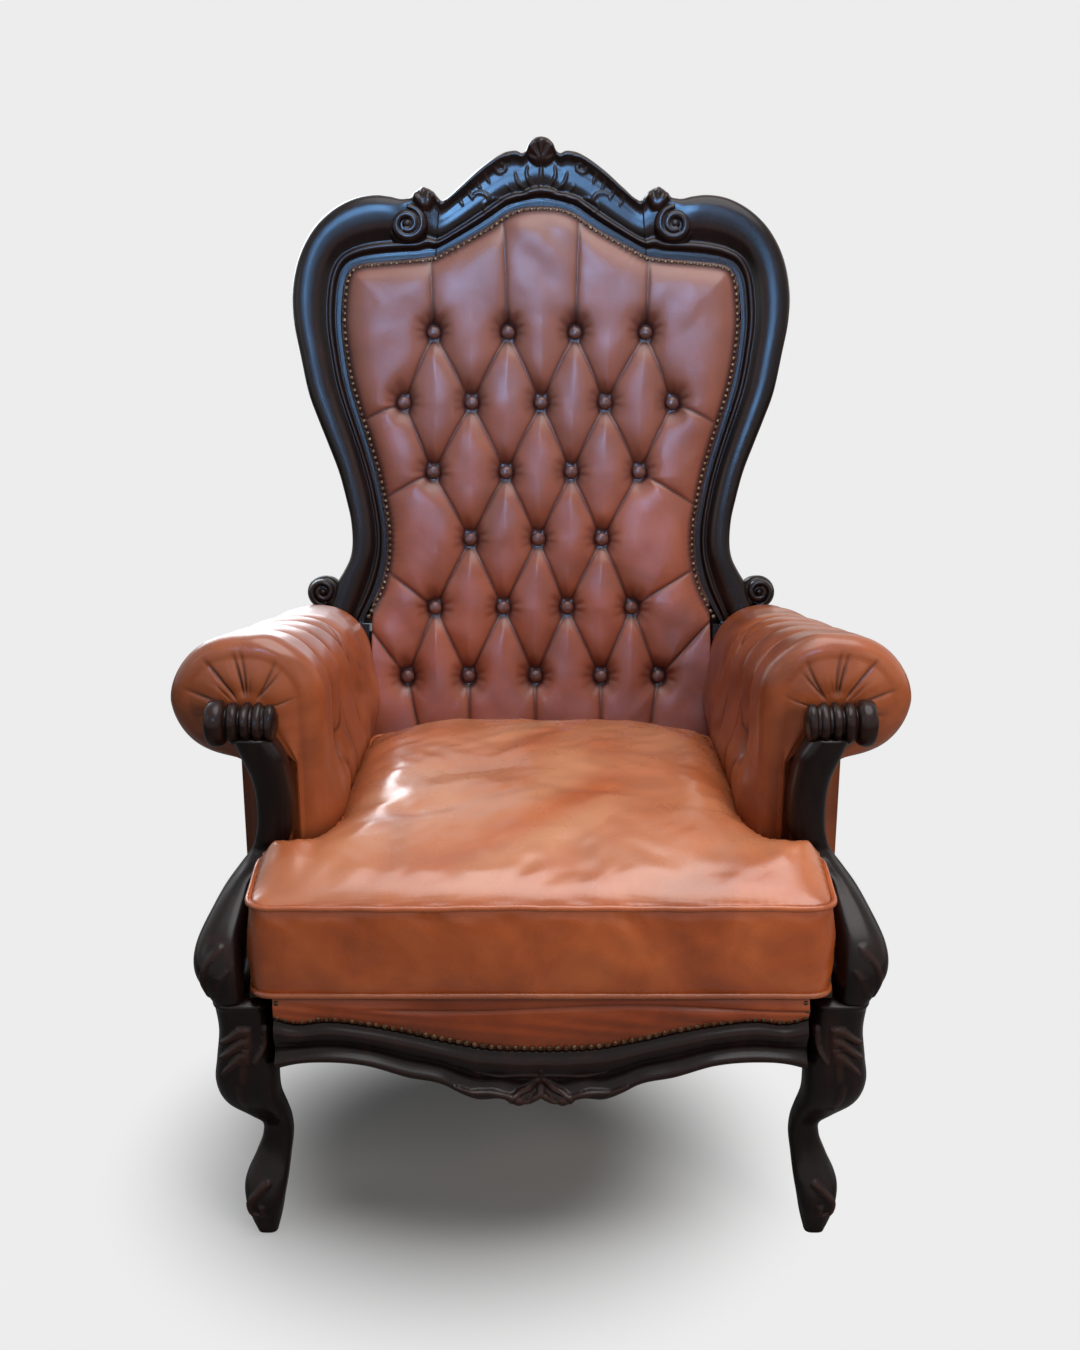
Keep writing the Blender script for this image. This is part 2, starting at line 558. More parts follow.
def tuftedHeight(x, s):  # height over the back's plane, and how dark the folds are
    crease, tail = (np.minimum.reduce([toSegment(x, s, a, b)[0] for a, b in lines])
                    for lines in (pleatLines(), tufting["tails"]))
    near, nearX, nearS = np.full(x.shape, 1e9), np.zeros(x.shape), np.zeros(x.shape)
    for bx, bs in buttonPlaces():
        d = np.hypot((x - bx) * 1.12, (s - bs) * 0.92)
        nearX, nearS = np.where(d < near, x - bx, nearX), np.where(d < near, s - bs, nearS)
        near = np.minimum(near, d)
    inside = np.clip(toPoints(np.abs(x), s, openingEdge(260)[::2]) - 3, 0, None)
    high = tufting["crown"] - np.maximum(tufting["creaseDepth"] * np.exp(-crease / tufting["creaseWidth"]),
                                         tufting["tailDepth"] * np.exp(-tail / tufting["tailWidth"]))
    crease = np.minimum(crease, tail)
    high -= 1.9 * np.exp(-(crease / 1.7)**2)
    high -= tufting["pit"] * np.exp(-(np.clip(near - 9, 0, None) / tufting["pitWidth"])**1.4)
    bowl = smoothStep(15, 9.5, near)
    high = high * (1 - bowl) + tufting["pitFloor"] * bowl
    turn = np.arctan2(nearS, nearX)  # small gathers round each button
    gather = np.exp(-((near - 19) / 9)**2)
    high += gather * 0.9 * np.cos(turn * 9 + 1.3 * np.sin(turn * 2)) * (0.6 + 0.4 * np.sin(turn))
    nicks = np.zeros(x.shape)
    for angle in np.radians((66, 90, 112)):
        off, t = toSegment(nearX, nearS, (0, 0), (26 * math.cos(angle), 27 * math.sin(angle)))
        nick = np.exp(-(off / 1.5)**2) * np.clip(1.15 - t, 0, 1) * (1 - bowl)
        high -= 1.8 * nick
        nicks = np.maximum(nicks, nick)
    high += 0.9 * ripples(x, s, 90, 3) + 0.12 * ripples(x, s, 30, 8)
    fall = 1 - np.exp(-(inside / 15)**1.1)
    high = tufting["edgeHeight"] + (high - tufting["edgeHeight"]) * fall
    fold = 0.85 * np.exp(-(crease / 1.5)**2) + 0.92 * smoothStep(21, 10, near) + 0.16 * np.exp(-crease / 9)
    above = smoothStep(58, 12, near) * (nearS > 0) * (s > 551)  # shadow that widens down a pleat to its button
    shadow = 0.85 * np.exp(-(tail / (1.5 + 9 * above))**2) * above
    return high, np.maximum.reduce([np.clip(fold, 0, 1), 0.8 * nicks, shadow, 0.48 * smoothStep(37, 11, near),
                                    0.9 * smoothStep(13, 4, inside)])


def fillOutline(edge, look):  # a grid of x and s, from a straight foot up to the curved edge
    t, r = np.linspace(-1, 1, look["columns"])[None], np.linspace(0, 1, look["rowsUp"])[:, None]
    down = edge[np.argsort(edge[:, 1])]
    top = edge[edge[:, 1] > look["topFrom"]]
    top = top[np.argsort(top[:, 0])]
    half, most, upTo = look["foot"]
    x = t * look["start"] + 0 * r
    for _ in range(6):  # width and height hang together, so they are found in turns
        ceiling = np.interp(np.abs(x), top[:, 0], top[:, 1], right=look["beyond"])
        s = look["low"] + r * (ceiling - look["low"])
        level = np.minimum(s, 640)
        free = np.interp(level, down[:, 1], down[:, 0])
        foot = half + (np.minimum(free, most) - half) * smoothStep(150, upTo, level)
        x = t * np.where(level < upTo, foot, np.minimum(free, look["widest"]))
    return x, s


def buildTuftedBack():
    x, s = fillOutline(openingEdge(500), tufting)
    high, fold = tuftedHeight(x, s)
    faces, rim = gridFaces(*x.shape), gridRim(*x.shape)
    flat = onBack(x.ravel()[rim], s.ravel()[rim], tufting["rear"])
    centre = onBack(0.0, 400.0, tufting["rear"])[None]
    start, last = x.size, x.size + len(rim)
    for k, (a, b) in enumerate(zip(rim, rim[1:] + rim[:1])):
        j = (k + 1) % len(rim)
        faces += [[b, a, start + k, start + j], [start + j, start + k, last]]
    verts = np.concatenate([onBack(x, s, high).reshape(-1, 3), flat, centre])
    made = makePiece("tuftedBack", "back_pad", verts, faces, {"fold": fold}, backLeather, "back_leather", weld=False)


buildTuftedBack()
print("tufted back made")


def domeMesh(name, profile, spokes, dimples=0.0):  # a small turned shape standing on its base, closed below
    profile = np.asarray(profile, float)
    a = np.linspace(0, math.tau, spokes, endpoint=False)[None]
    r, h = profile[:, :1] * np.ones_like(a), profile[:, 1:] * np.ones_like(a)
    h = h + dimples * np.cos(a * 3 + 1) * np.clip(r / profile[:, 0].max(), 0, 1)
    verts, faces = cappedTube(np.stack([r * np.cos(a), r * np.sin(a), h], axis=-1) * mm)
    return smoothObject(name, verts, faces, {}, weld=False)


def scatterTree():  # a head on every point, each a little turned and sized by chance
    tree = bpy.data.node_groups.new("headsOnPoints", "GeometryNodeTree")
    for label, kind in (("Geometry", "Geometry"), ("Head", "Object"), ("Size Spread", "Float"), ("Tilt", "Float"),
                        ("Seed", "Int"), ("Finish", "Material")):
        tree.interface.new_socket(label, in_out="INPUT", socket_type="NodeSocket" + kind)
    tree.interface.new_socket("Geometry", in_out="OUTPUT", socket_type="NodeSocketGeometry")
    given = node(tree, "NodeGroupInput").outputs
    small, large = (maths(tree, operation, 1.0, given["Size Spread"]) for operation in ("SUBTRACT", "ADD"))
    size = node(tree, "FunctionNodeRandomValue", {2: small, 3: large, "Seed": given["Seed"]})
    minus = maths(tree, "MULTIPLY", given["Tilt"], -1.0)
    tilt = node(tree, "FunctionNodeRandomValue", data_type="FLOAT_VECTOR",
                inputs={0: minus, 1: given["Tilt"], "Seed": given["Seed"]})
    outward = node(tree, "GeometryNodeInputNamedAttribute", {"Name": "outward"}, data_type="FLOAT_VECTOR")
    axis = node(tree, "FunctionNodeAlignRotationToVector", {"Vector": outward.outputs["Attribute"]}, axis="Z")
    euler = node(tree, "FunctionNodeEulerToRotation", {0: tilt.outputs[0]})
    wobble = node(tree, "FunctionNodeRotateRotation", {0: axis.outputs[0], 1: euler.outputs[0]},
                  rotation_space="LOCAL")
    head = node(tree, "GeometryNodeObjectInfo", {"Object": given["Head"]})
    placed = node(tree, "GeometryNodeInstanceOnPoints", {
        "Points": given["Geometry"], "Instance": head.outputs["Geometry"], "Rotation": wobble.outputs[0],
        "Scale": size.outputs[1]})
    real = node(tree, "GeometryNodeRealizeInstances", {"Geometry": placed.outputs["Instances"]})
    paint = {"Geometry": real.outputs["Geometry"], "Material": given["Finish"]}
    painted = node(tree, "GeometryNodeSetMaterial", paint).outputs["Geometry"]
    node(tree, "NodeGroupOutput", {"Geometry": painted})
    return tree


headTree = scatterTree()


def setOut(name, solid, places, outward, kind, seed):  # heads of one kind at given places
    mesh = bpy.data.meshes.new(name + "Points")
    mesh.from_pydata(np.asarray(places).tolist(), [], [])
    outward = np.tile(np.asarray(outward, np.float32), len(places))
    mesh.attributes.new("outward", "FLOAT_VECTOR", "POINT").data.foreach_set("vector", outward)
    points = addObject(name + "Points", mesh)
    modifier = points.modifiers.new("heads", "NODES")
    modifier.node_group = headTree
    values = {"Head": kind["head"], "Finish": kind["finish"], "Size Spread": kind["spread"], "Tilt": kind["tilt"],
              "Seed": seed}
    for item in headTree.interface.items_tree:
        if item.in_out == "INPUT" and item.name in values:
            modifier[item.identifier] = values[item.name]
    ready = bpy.data.meshes.new_from_object(points.evaluated_get(bpy.context.evaluated_depsgraph_get()))
    ready.name = name
    bpy.data.objects.remove(points)
    declare(addObject(name, ready), "chair", solid)
    print(name, len(places), "heads,", len(ready.polygons), "faces")


nailKind = dict(
    head=domeMesh("nailHead", [(3.2, -1.4), (3.5, 0.2), (3.2, 1.2), (2.3, 2.2), (1.1, 2.7)], 12),
    finish=antiqueBrass, slot="antique_brass", spread=0.07, tilt=0.16, apart=8.8, seat=2.6)
buttonKind = dict(
    head=domeMesh("buttonHead", [(7.5, -6), (9.2, -2.0), (9.4, 0.4), (8.6, 2.2), (6.6, 3.7), (3.6, 4.6), (1.2, 4.9)],
                  28, 0.25),
    finish=buttonLeather, slot="back_leather", spread=0.03, tilt=0.10, seat=1.2)


def nailLine():  # just inside the show-wood's inner edge, left foot over the crest to the right foot
    edge = openingEdge(600)
    edge = edge[edge[:, 1] > 158]
    whole = np.concatenate([edge, mirrored(edge)[-2::-1]])
    inward = sideways(np.gradient(whole, axis=0))
    if (inward[100] * (whole[100] - (0, 400))).sum() > 0:
        inward = -inward
    line = whole + inward * backFrame["nailInset"]
    return evenly(line, int(lengths(line)[-1] / nailKind["apart"]))


def buildHeads():
    ahead = (onBack(0.0, 0.0, 1.0) - onBack(0.0, 0.0, 0.0)) / mm
    nails = onBack(*nailLine().T, tufting["edgeHeight"] + nailKind["seat"])
    setOut("backNails", "back_nail_band", nails, ahead, nailKind, 3)
    x, s = np.array(buttonPlaces(), float).T
    buttons = onBack(x, s, tuftedHeight(x, s)[0] + buttonKind["seat"])
    setOut("backButtons", "back_buttons", buttons, ahead, buttonKind, 5)


buildHeads()

arm = dict(
    front=-252, rounding=27, inner=240, seat=303, rear=225,
    # half width, top and roll radius at the front of the roll and at its rear
    frontRoll=(410, 651, 76), rearRoll=(368, 573, 52), centre=(323, 566),
    # points across the wall, the join and the five runs of the roll, and rows along the arm
    wallRows=26, joinRows=12, bends=(6, 46, 12, 40, 26), faceRows=26, roundRows=14, rows=150,
    end=222.0, bentFrom=0.72, rearGap=16.3, middle=(270, 511),
    # creases over the roll: y, slant
    grooves=((-150, 0.05), (-75, 0.15), (-12, 0.7), (64, 0.3)),
    # folds over the inner face, as (y, z) lines with depth and width
    folds=[([(-153, 640), (-158, 590), (-152, 545), (-150, 500), (-128, 455), (-104, 400)], 5.0, 5.0),
           ([(-63, 612), (-74, 575), (-86, 530), (-84, 480), (-72, 430)], 3.6, 5.0),
           ([(36, 590), (20, 560), (4, 520), (-2, 470)], 3.2, 6.0),
           ([(-150, 500), (-120, 512), (-96, 540), (-84, 580)], 2.2, 7.0)],
    pit=(-150, 498), pitDepth=17, pitWidth=20, swell=14,
    # pleats of the facing: angle, depth, reach
    gathers=((-32, 0.7, 0.8), (2, 0.8, 0.8), (27, 1.0, 1.0), (44, 0.5, 0.7), (58, 1.1, 1.1), (83, 1.1, 0.95),
             (89, 0.9, 1.0), (104, 0.4, 0.6), (120, 0.9, 0.95), (125, 0.8, 0.85), (157, 0.6, 0.8)),
)
underRolls = [top - 1.85 * radius for _, top, radius in (arm["frontRoll"], arm["rearRoll"])]


def armShare(y):  # 0 at the front of the roll, 1 at its rear
    return (y + arm["rear"]) / (2 * arm["rear"])


def sideLine(y):  # x of the chair's side, which narrows to the rear
    frontY, rearY = -337.8, backLine(290, 15)
    return 338 + (299 - 338) * (y - frontY) / (rearY - frontY)


def armSection(y, draw):  # inner wall, roll, underside and hidden return, as (x, z) points
    along = armShare(y)
    half, top, radius = (a + (b - a) * along - draw for a, b in zip(arm["frontRoll"], arm["rearRoll"]))
    inside = radius + 20 * max(along, 0)
    under = underRolls[0] + (underRolls[1] - underRolls[0]) * along
    inner, panel = arm["inner"] + draw, sideLine(y)
    rail = panel - 39
    join = under + 0.8 * (top - inside - under)

    def run(a, b, count):
        f = np.linspace(0, 1, count, endpoint=False)[:, None]
        return np.array(a) * (1 - f) + np.array(b) * f

    def bend(cx, cz, start, end, count, size):
        a = np.radians(np.linspace(start, end, count, endpoint=False))
        return np.column_stack([cx + size * np.cos(a), cz + size * np.sin(a)])

    upper, curve, flat, shoulder, lower = arm["bends"]
    a, c = np.array([half, top - radius]), np.array([panel, under])
    b = 2 * np.array([half - radius * 0.3, top - radius * 1.64]) - (a + c) / 2
    f = np.linspace(0, 1, lower, endpoint=False)[:, None]
    seat, wallRows, joinRows = arm["seat"], arm["wallRows"], arm["joinRows"]
    return np.concatenate([
        run((inner, seat), (inner, under), wallRows), run((inner, under), (inner, join), joinRows),
        run((inner, join), (inner, top - inside), upper),
        bend(inner + inside, top - inside, 180, 90, curve, inside),
        run((inner + inside, top), (max(half - radius, inner + inside + 1), top), flat),
        bend(half - radius, top - radius, 90, 0, shoulder, radius), (1 - f)**2 * a + 2 * f * (1 - f) * b + f**2 * c,
        run((panel, under), (rail, under), joinRows), run((rail, under), (rail, seat), wallRows),
        run((rail, seat), (inner, seat), upper)])


def armTargets():  # where each point of the facing runs to: the wall's middle line, then the roll's centre
    n, (mid, up), centre = arm["wallRows"], arm["middle"], np.array(arm["centre"])
    f = np.linspace(0, 1, arm["joinRows"], endpoint=False)[:, None]
    wall = np.column_stack([np.full(n, mid), np.linspace(arm["seat"], up, n, endpoint=False)])
    join = np.array(arm["middle"]) * (1 - f) + centre * f
    back = centre * (1 - f) + np.array(arm["middle"]) * f
    down = np.column_stack([np.full(n, mid), np.linspace(up, arm["seat"], n, endpoint=False)])
    return np.concatenate([wall, join, np.tile(centre, (sum(arm["bends"]), 1)), back, down,
                           np.tile([mid, arm["seat"]], (arm["bends"][0], 1))])


def armGrid():
    rings, front, rounding = [], arm["front"], arm["rounding"]

    def ring(points, y):
        rings.append(np.column_stack([points[:, 0], np.broadcast_to(y, len(points)), points[:, 1]]))

    facing, targets = armSection(front, rounding), armTargets()
    for f in 1 - np.linspace(0, 1, arm["faceRows"], endpoint=False)**0.8:
        ring(facing * (1 - f) + targets * f, front - 6.5 * math.sin(min(1, f * 1.7) * math.pi * 0.62))
    for turn in np.linspace(0, math.pi / 2, arm["roundRows"])[:-1]:
        y = front + rounding * (1 - math.cos(turn))
        ring(armSection(y, rounding * (1 - math.sin(turn))), y)
    start, bentFrom = -arm["rear"], arm["bentFrom"]
    for v in np.linspace(0, 1, arm["rows"]):
        y = np.full(len(facing), start + (arm["end"] - start) * v)
        for _ in range(2):
            bent = v > bentFrom  # the rear of the arm follows the leaning back
            points = np.array([armSection(at, 0.0)[k] for k, at in enumerate(y)]) if bent else armSection(y[0], 0.0)
            rearY = backLine(points[:, 1], arm["rearGap"])
            if bent:
                y = y + (start + (rearY - start) * v - y) * ((v - bentFrom) / (1 - bentFrom))
            y = np.minimum(y, rearY)
        ring(points, y)
    return np.stack(rings)


def buildArms():
    grid = armGrid()
    x, y, z = (grid[..., k] for k in range(3))
    normal = loopNormals(grid)
    if normal[60, 80, 2] < 0:
        normal = -normal
    turn = np.degrees(np.arctan2(z - arm["centre"][1], x - arm["centre"][0]))
    r = np.hypot(x - arm["centre"][0], z - arm["centre"][1])
    away = r + np.clip(y - arm["front"], 0, None) * 1.3
    strength = smoothStep(100, 60, away) * smoothStep(18, 30, r)
    gather, puff = np.zeros(x.shape), np.zeros(x.shape)
    for angle, depth, reach in arm["gathers"]:
        bend = angle + 4 * np.sin(away / 26 + angle)
        off = np.radians((turn - bend + 180) % 360 - 180) * np.minimum(r, 62)
        run = depth * smoothStep(84 * reach, 46 * reach, away)
        gather = np.maximum(gather, np.exp(-(off / (1.0 + away / 90))**2) * run)
        puff = np.maximum(puff, np.exp(-np.abs(off) / 7) * run)
    low = -(gather * 1.5 + puff * 1.6) * strength
    fold = 0.85 * gather * strength
    # creases over the top and down the inner face
    share = (y > arm["front"] + 30) * smoothStep(400, 340, x) * smoothStep(505, 560, z)
    for place, slant in arm["grooves"]:
        off = np.abs(y - (place + slant * (300 - np.clip(x, 238, 400)) + 3 * np.sin(x / 23)))
        low -= share * (7.0 * np.exp(-off / 15) + 2.2 * np.exp(-(off / 1.8)**2) * smoothStep(322, 300, x))
        fold = np.maximum(fold, share * np.exp(-(off / 1.7)**2) * smoothStep(318, 300, x))
    face = smoothStep(arm["inner"] + 75, arm["inner"] + 20, x) * (y > arm["front"] + 20) * (z > arm["seat"] + 4)
    for path, depth, wide in arm["folds"]:
        off = toPoints(y, z, lineThrough(path, 40))
        low -= face * depth * (0.7 * np.exp(-off / wide) + 0.5 * np.exp(-(off / 2.4)**2))
        fold = np.maximum(fold, face * 0.9 * np.exp(-(off / 2.6)**2))
    # the side swells over the cushion's seam
    low += face * arm["swell"] * np.exp(-((z - 448) / 50)**2) * smoothStep(-236, -200, y)
    pit = np.hypot(y - arm["pit"][0], (z - arm["pit"][1]) * 0.8)
    low -= face * arm["pitDepth"] * np.exp(-(pit / arm["pitWidth"])**2)
    fold = np.maximum(fold, face * np.exp(-(pit / 15)**2))
    low += 1.1 * ripples(y + x * 0.5, z + x * 0.5, 85, 11) * (y > arm["front"] + 5)
    hidden = smoothStep(arm["seat"] + 2, arm["seat"] + 14, z)
    verts, faces = cappedTube((grid + normal * (low * hidden)[..., None]) * mm)
    marks = {"fold": fold, "rub": np.clip(normal[..., 2] - 0.75, 0, 1) * 1.2}
    for side in sides:
        made = makeSide(side, "ArmPad", "_arm_pad", verts, faces, marks, armLeather, "back_leather")


buildArms()
print("arms made")

cushion = dict(front=-408, half=303, waist=229, ear=-306, corner=24, notch=9, low=303.5, high=407, crown=58, swell=6,
               piping=3.3, spokes=14, count=420, rungs=8, lift=13,
               # the leather fills the corner between post and arm: share of the way, across, y
               fill=[(0.0, 282, -306), (0.2, 268, -302), (0.45, 254, -288), (0.7, 242, -266), (1.0, 230, -232)],
               # share of the way to the rear, share of the crown's height
               crownAt=[(0.0, 0.0), (0.022, 0.17), (0.05, 0.32), (0.107, 0.53), (0.19, 0.74), (0.38, 0.92),
                        (0.58, 0.98), (0.75, 0.95), (0.86, 0.86), (1.0, 0.72)],
               # y of the spine that the rows of points run to, from the front's middle round to the rear's
               spine=[-325, -318, -285, -232, 62, 66], pipingOut=2.6, bottomPiping=3.6,
               # soft dents: centre, turn, depth, width and length
               dents=[((-96, -150), 0.5, 7, 60, 26), ((-40, -60), 0.9, 4, 50, 18), ((60, -210), -0.35, 3, 70, 16),
                      ((-140, -260), 0.35, 3, 60, 15)])
cushionRear = backLine(303.3, 31) - 2 * 3.5 - 5 / 3 - 1.2  # behind it: the piping and a little room


def cushionOutline(count):  # right half, from the middle of the front to the middle of the rear
    w, e, n, front = cushion["half"], cushion["ear"], cushion["waist"], cushion["front"]
    corners = [((w, front), cushion["corner"]), ((w, e), 20), ((n, e), cushion["notch"]), ((n, cushionRear), 24)]
    ends = [(0, front)] + [c for c, _ in corners] + [(0, cushionRear)]
    path = [np.array([0.0, front])]
    for k, (corner, radius) in enumerate(corners):
        if k == 2:
            path += list(keyed(cushion["fill"], np.linspace(0, 1, 16)))
            continue
        before, after = (np.array(ends[j]) - corner for j in (k, k + 2))
        a, b = (np.array(corner) + way / np.linalg.norm(way) * radius for way in (before, after))
        path += [(1 - f)**2 * a + 2 * f * (1 - f) * np.array(corner) + f**2 * b for f in np.linspace(0, 1, 12)]
    path.append(np.array([0.0, cushionRear]))
    return evenly(np.array(path), count)


def cushionTop(x, y, line):  # height over the seam: a crowned top with soft dents and puckers along the seam
    edge, side = toPoints(x, y, line), toPoints(x, y, line[line[:, 1] > cushion["front"] + 12])
    share = np.clip((y - cushion["front"]) / (cushionRear - cushion["front"]), 0, 1)
    crown = keyed(cushion["crownAt"], share)[..., 0] * cushion["crown"]
    ears = smoothStep(236, 262, np.abs(x)) * smoothStep(-395, -350, y)
    rounded = smoothStep(-30, 90, y) * smoothStep(110, 200, np.abs(x))
    high = crown * (1 - np.exp(-side / (30 - 14 * ears + 42 * rounded)))
    high += 3 * (1 - np.exp(-edge / 6))
    dents = 2.2 * ripples(x, y, 190, 21) + 0.9 * ripples(x, y, 62, 5) + 0.35 * ripples(x, y, 26, 9)
    for (cx, cy), turn, depth, wide, tall in cushion["dents"]:
        u = (x - cx) * math.cos(turn) + (y - cy) * math.sin(turn)
        v = -(x - cx) * math.sin(turn) + (y - cy) * math.cos(turn)
        dents = dents - depth * np.exp(-(u / wide)**2 - (v / tall)**2)
    return high + dents * smoothStep(2, 40, edge)


def sideReach(y):  # half width, without the small round at the corner
    return cushion["half"] + (231 - cushion["half"]) * smoothStep(-345, -265, y)


def seamLift(x, y):  # the seam rises beside the arms, which push the cushion up
    inside = np.clip(sideReach(y) - np.abs(x), 0, None)
    return cushion["lift"] * smoothStep(-400, -305, y) * smoothStep(120, 0, y) * np.exp(-inside / 55)


def seatWear(x, y, edge):  # paler where people sit
    worn = (1 - np.exp(-edge / 45)) * np.clip(0.62 + 0.35 * ripples(x, y, 150, 77), 0, 1)
    patch = np.exp(-((x + 130) / 75)**2 - ((y + 215) / 95)**2) * (1 + 0.5 * ripples(x, y, 60, 78))
    return np.clip(worn + 0.5 * patch, 0, 1)


def ladders(count, starts, firstNew):  # bars across closed loops of points: (a, b, share) for new points, and faces
    half, rungs, added, faces = count // 2, cushion["rungs"], [], []
    for base in starts:
        ladder = np.zeros((half + 1, rungs + 1), int)
        for k in range(half + 1):
            a, b = base + k, base + (count - k) % count
            ladder[k] = a
            ladder[k, -1] = b
            for j in range(1, rungs) if 0 < k < half else ():
                ladder[k, j] = firstNew + len(added)
                added.append((a, b, j / rungs))
        for k in range(half):
            for j in range(rungs):
                face = [ladder[k, j], ladder[k, j + 1], ladder[k + 1, j + 1], ladder[k + 1, j]]
                face = [int(v) for i, v in enumerate(face) if v != face[i - 1]]
                if len(face) > 2:
                    faces.append(face)
    return added, faces


def buildPiping(outline, outward, d):
    count, spokes, size = len(outline), cushion["spokes"], cushion["piping"]
    wobble = 0.8 * ripples(d, d * 0, 150, 41) + 0.25 * np.sin(d / 9)
    faces = gridFaces(count, spokes, closed=True)
    last = (count - 1) * spokes
    faces += [[last + c, last + (c + 1) % spokes, (c + 1) % spokes, c] for c in range(spokes)]
    for name, solid, z, rise, fold in (
            ("topPiping", "cushion_top_piping", cushion["high"], wobble + seamLift(*outline.T), 0.0),
            ("bottomPiping", "cushion_bottom_piping", cushion["low"] + cushion["bottomPiping"], wobble * 0.3, 0.45)):
        lines = []
        for a in np.linspace(0, math.tau, spokes, endpoint=False):
            line = outline + outward * cushion["pipingOut"] + outward * (math.cos(a) * size)
            lines.append(np.column_stack([line, z + math.sin(a) * size + rise]))
        marks = {"rub": np.full(count * spokes, 0.12), "fold": np.full(count * spokes, fold)}
        makePiece(name, solid, np.stack(lines, axis=1) * mm, faces, marks, seatLeather, "seat_leather", "cushion",
                  weld=False)


def buildCushion():
    right = cushionOutline(cushion["count"] // 2 + 1)
    outline = np.concatenate([right, mirrored(right)[-2:0:-1]])
    count = len(outline)
    outward = sideways(np.roll(outline, -1, 0) - np.roll(outline, 1, 0))
    along = lengths(right)
    half, waist, front, ear = (cushion[key] for key in ("half", "waist", "front", "ear"))
    corner = [np.argmin(np.hypot(*(right - at).T))
              for at in ((half, front), (half, ear), (waist, ear), (waist, cushionRear))]
    spineAt = np.interp(along, [0, *along[corner], along[-1]], cushion["spine"])
    spine = np.column_stack([outline[:, 0] * 0.14, np.concatenate([spineAt, spineAt[-2:0:-1]])])
    # the sides bulge over the seam
    press = smoothStep(-300, -250, outline[:, 1]) * smoothStep(110, 40, outline[:, 1]) * 7
    d = lengths(np.concatenate([outline, outline[:1]]))[:-1]
    rings, folds, rubs = [], [], []

    def ring(points, z, fold=0.0, rub=0.0):
        rings.append(np.column_stack([points, np.broadcast_to(z, count)]))
        folds.append(np.broadcast_to(fold, count))
        rubs.append(np.broadcast_to(rub, count))

    low, high = cushion["low"], cushion["high"]
    for f in (0.0, 0.3, 0.6, 0.85, 0.97):  # underside
        ring(spine + (outline - spine) * f, low, 0.2)
    top = high + seamLift(*outline.T)
    for f in np.linspace(0, 1, 30):  # side
        swell = cushion["swell"] * (1 - abs(2 * f - 1)**3)
        puck, level = np.exp(-min(f, 1 - f) / 0.10), np.full(count, f * 104)
        wave = 0.9 * puck * np.sin(d / 17 + 2 * np.sin(d / 60)) + 1.4 * ripples(d, level, 120, 31)
        wave += 0.7 * ripples(d, level, 38, 33)
        fade = smoothStep(0, 0.12, f) * smoothStep(1, 0.88, f)
        ring(outline + outward * (swell + wave * fade)[:, None], low + (top - low) * f,
             0.75 * np.exp(-f / 0.03) + 0.35 * np.exp(-(1 - f) / 0.03))

    def topHeight(x, y):
        return high + seamLift(x, y) + cushionTop(x, y, outline[::2])

    for f in np.concatenate([np.linspace(0, 0.12, 16)[1:], np.linspace(0.12, 1.0, 70)[1:]]):  # top
        points = outline + (spine - outline) * f
        edge = np.linalg.norm(points - outline, axis=1)
        points = points + outward * (press * np.sin(np.clip(edge / 46, 0, 1) * math.pi))[:, None]
        puck = 0.7 * np.exp(-edge / 14) * np.sin(d / 13 + 3 * np.sin(d / 80)) * smoothStep(0, 6, edge)
        ring(points, topHeight(*points.T) + puck, 0.35 * np.exp(-edge / 3.0),
             seatWear(*points.T, edge) + 0.25 * np.exp(-((edge - 14) / 14)**2))
    verts, faces = np.stack(rings).reshape(-1, 3), gridFaces(len(rings), count, closed=True)
    lastRing = (len(rings) - 1) * count
    added, filled = ladders(count, (0, lastRing), len(verts))
    fill = np.array([verts[a] + (verts[b] - verts[a]) * share for a, b, share in added])
    raised = np.array([a >= lastRing for a, _, _ in added])
    fill[raised, 2] = topHeight(*fill[raised, :2].T)
    wear = np.zeros(len(fill))
    wear[raised] = seatWear(*fill[raised, :2].T, 200.0)
    marks = {"fold": np.stack(folds), "rub": np.concatenate([np.stack(rubs).ravel(), wear])}
    made = makePiece("seatCushion", "seat_cushion", np.concatenate([verts, fill]) * mm, faces + filled, marks,
                     seatLeather, "seat_leather", "cushion")
    buildPiping(outline, outward, d)


buildCushion()
print("cushion made")

front = dict(
    halfLength=282, y=-404.3, relief=12, behind=26, lineAbove=0.3, top=302.6,
    # share of the half length, lower and upper edge
    edges=[(0.000, 183.0, 239.0), (0.067, 176.0, 239.5), (0.160, 183.0, 240.4), (0.240, 182.1, 243.0),
           (0.311, 190.5, 247.1), (0.360, 198.9, 250.0), (0.505, 209.1, 260.4), (0.657, 223.0, 269.1),
           (0.802, 227.1, 274.0), (0.930, 224.8, 271.2), (1.000, 219.0, 277.0)],
    profile=[(0.00, 0.15), (0.05, 0.66), (0.12, 0.92), (0.20, 0.92), (0.27, 0.60), (0.33, 0.34), (0.50, 0.42),
             (0.66, 0.70), (0.76, 0.84), (0.86, 0.70), (0.93, 0.42), (1.00, 0.25)],
    # ridges carved on half the apron: path, width at its start and at its end, height
    drop=[
        ([(3, 207), (12, 199), (24, 193), (33, 186), (30, 178), (22, 181)], 4.2, 2.2, 5.5),
        ([(5, 190), (12, 184), (18, 183)], 4.5, 2.0, 4.5),
        ([(33, 190), (52, 195), (74, 196), (92, 203)], 3.6, 1.5, 3.6),
        ([(3, 212), (20, 213), (44, 211), (70, 217)], 3.2, 1.2, 2.6),
        ([(0, 193), (0, 205), (0, 220)], 5.0, 2.0, 4.0),
    ],
    board=[(14.2, 0), (14.2, 1), (26, 1), (26, 0)], boardTop=290,
)


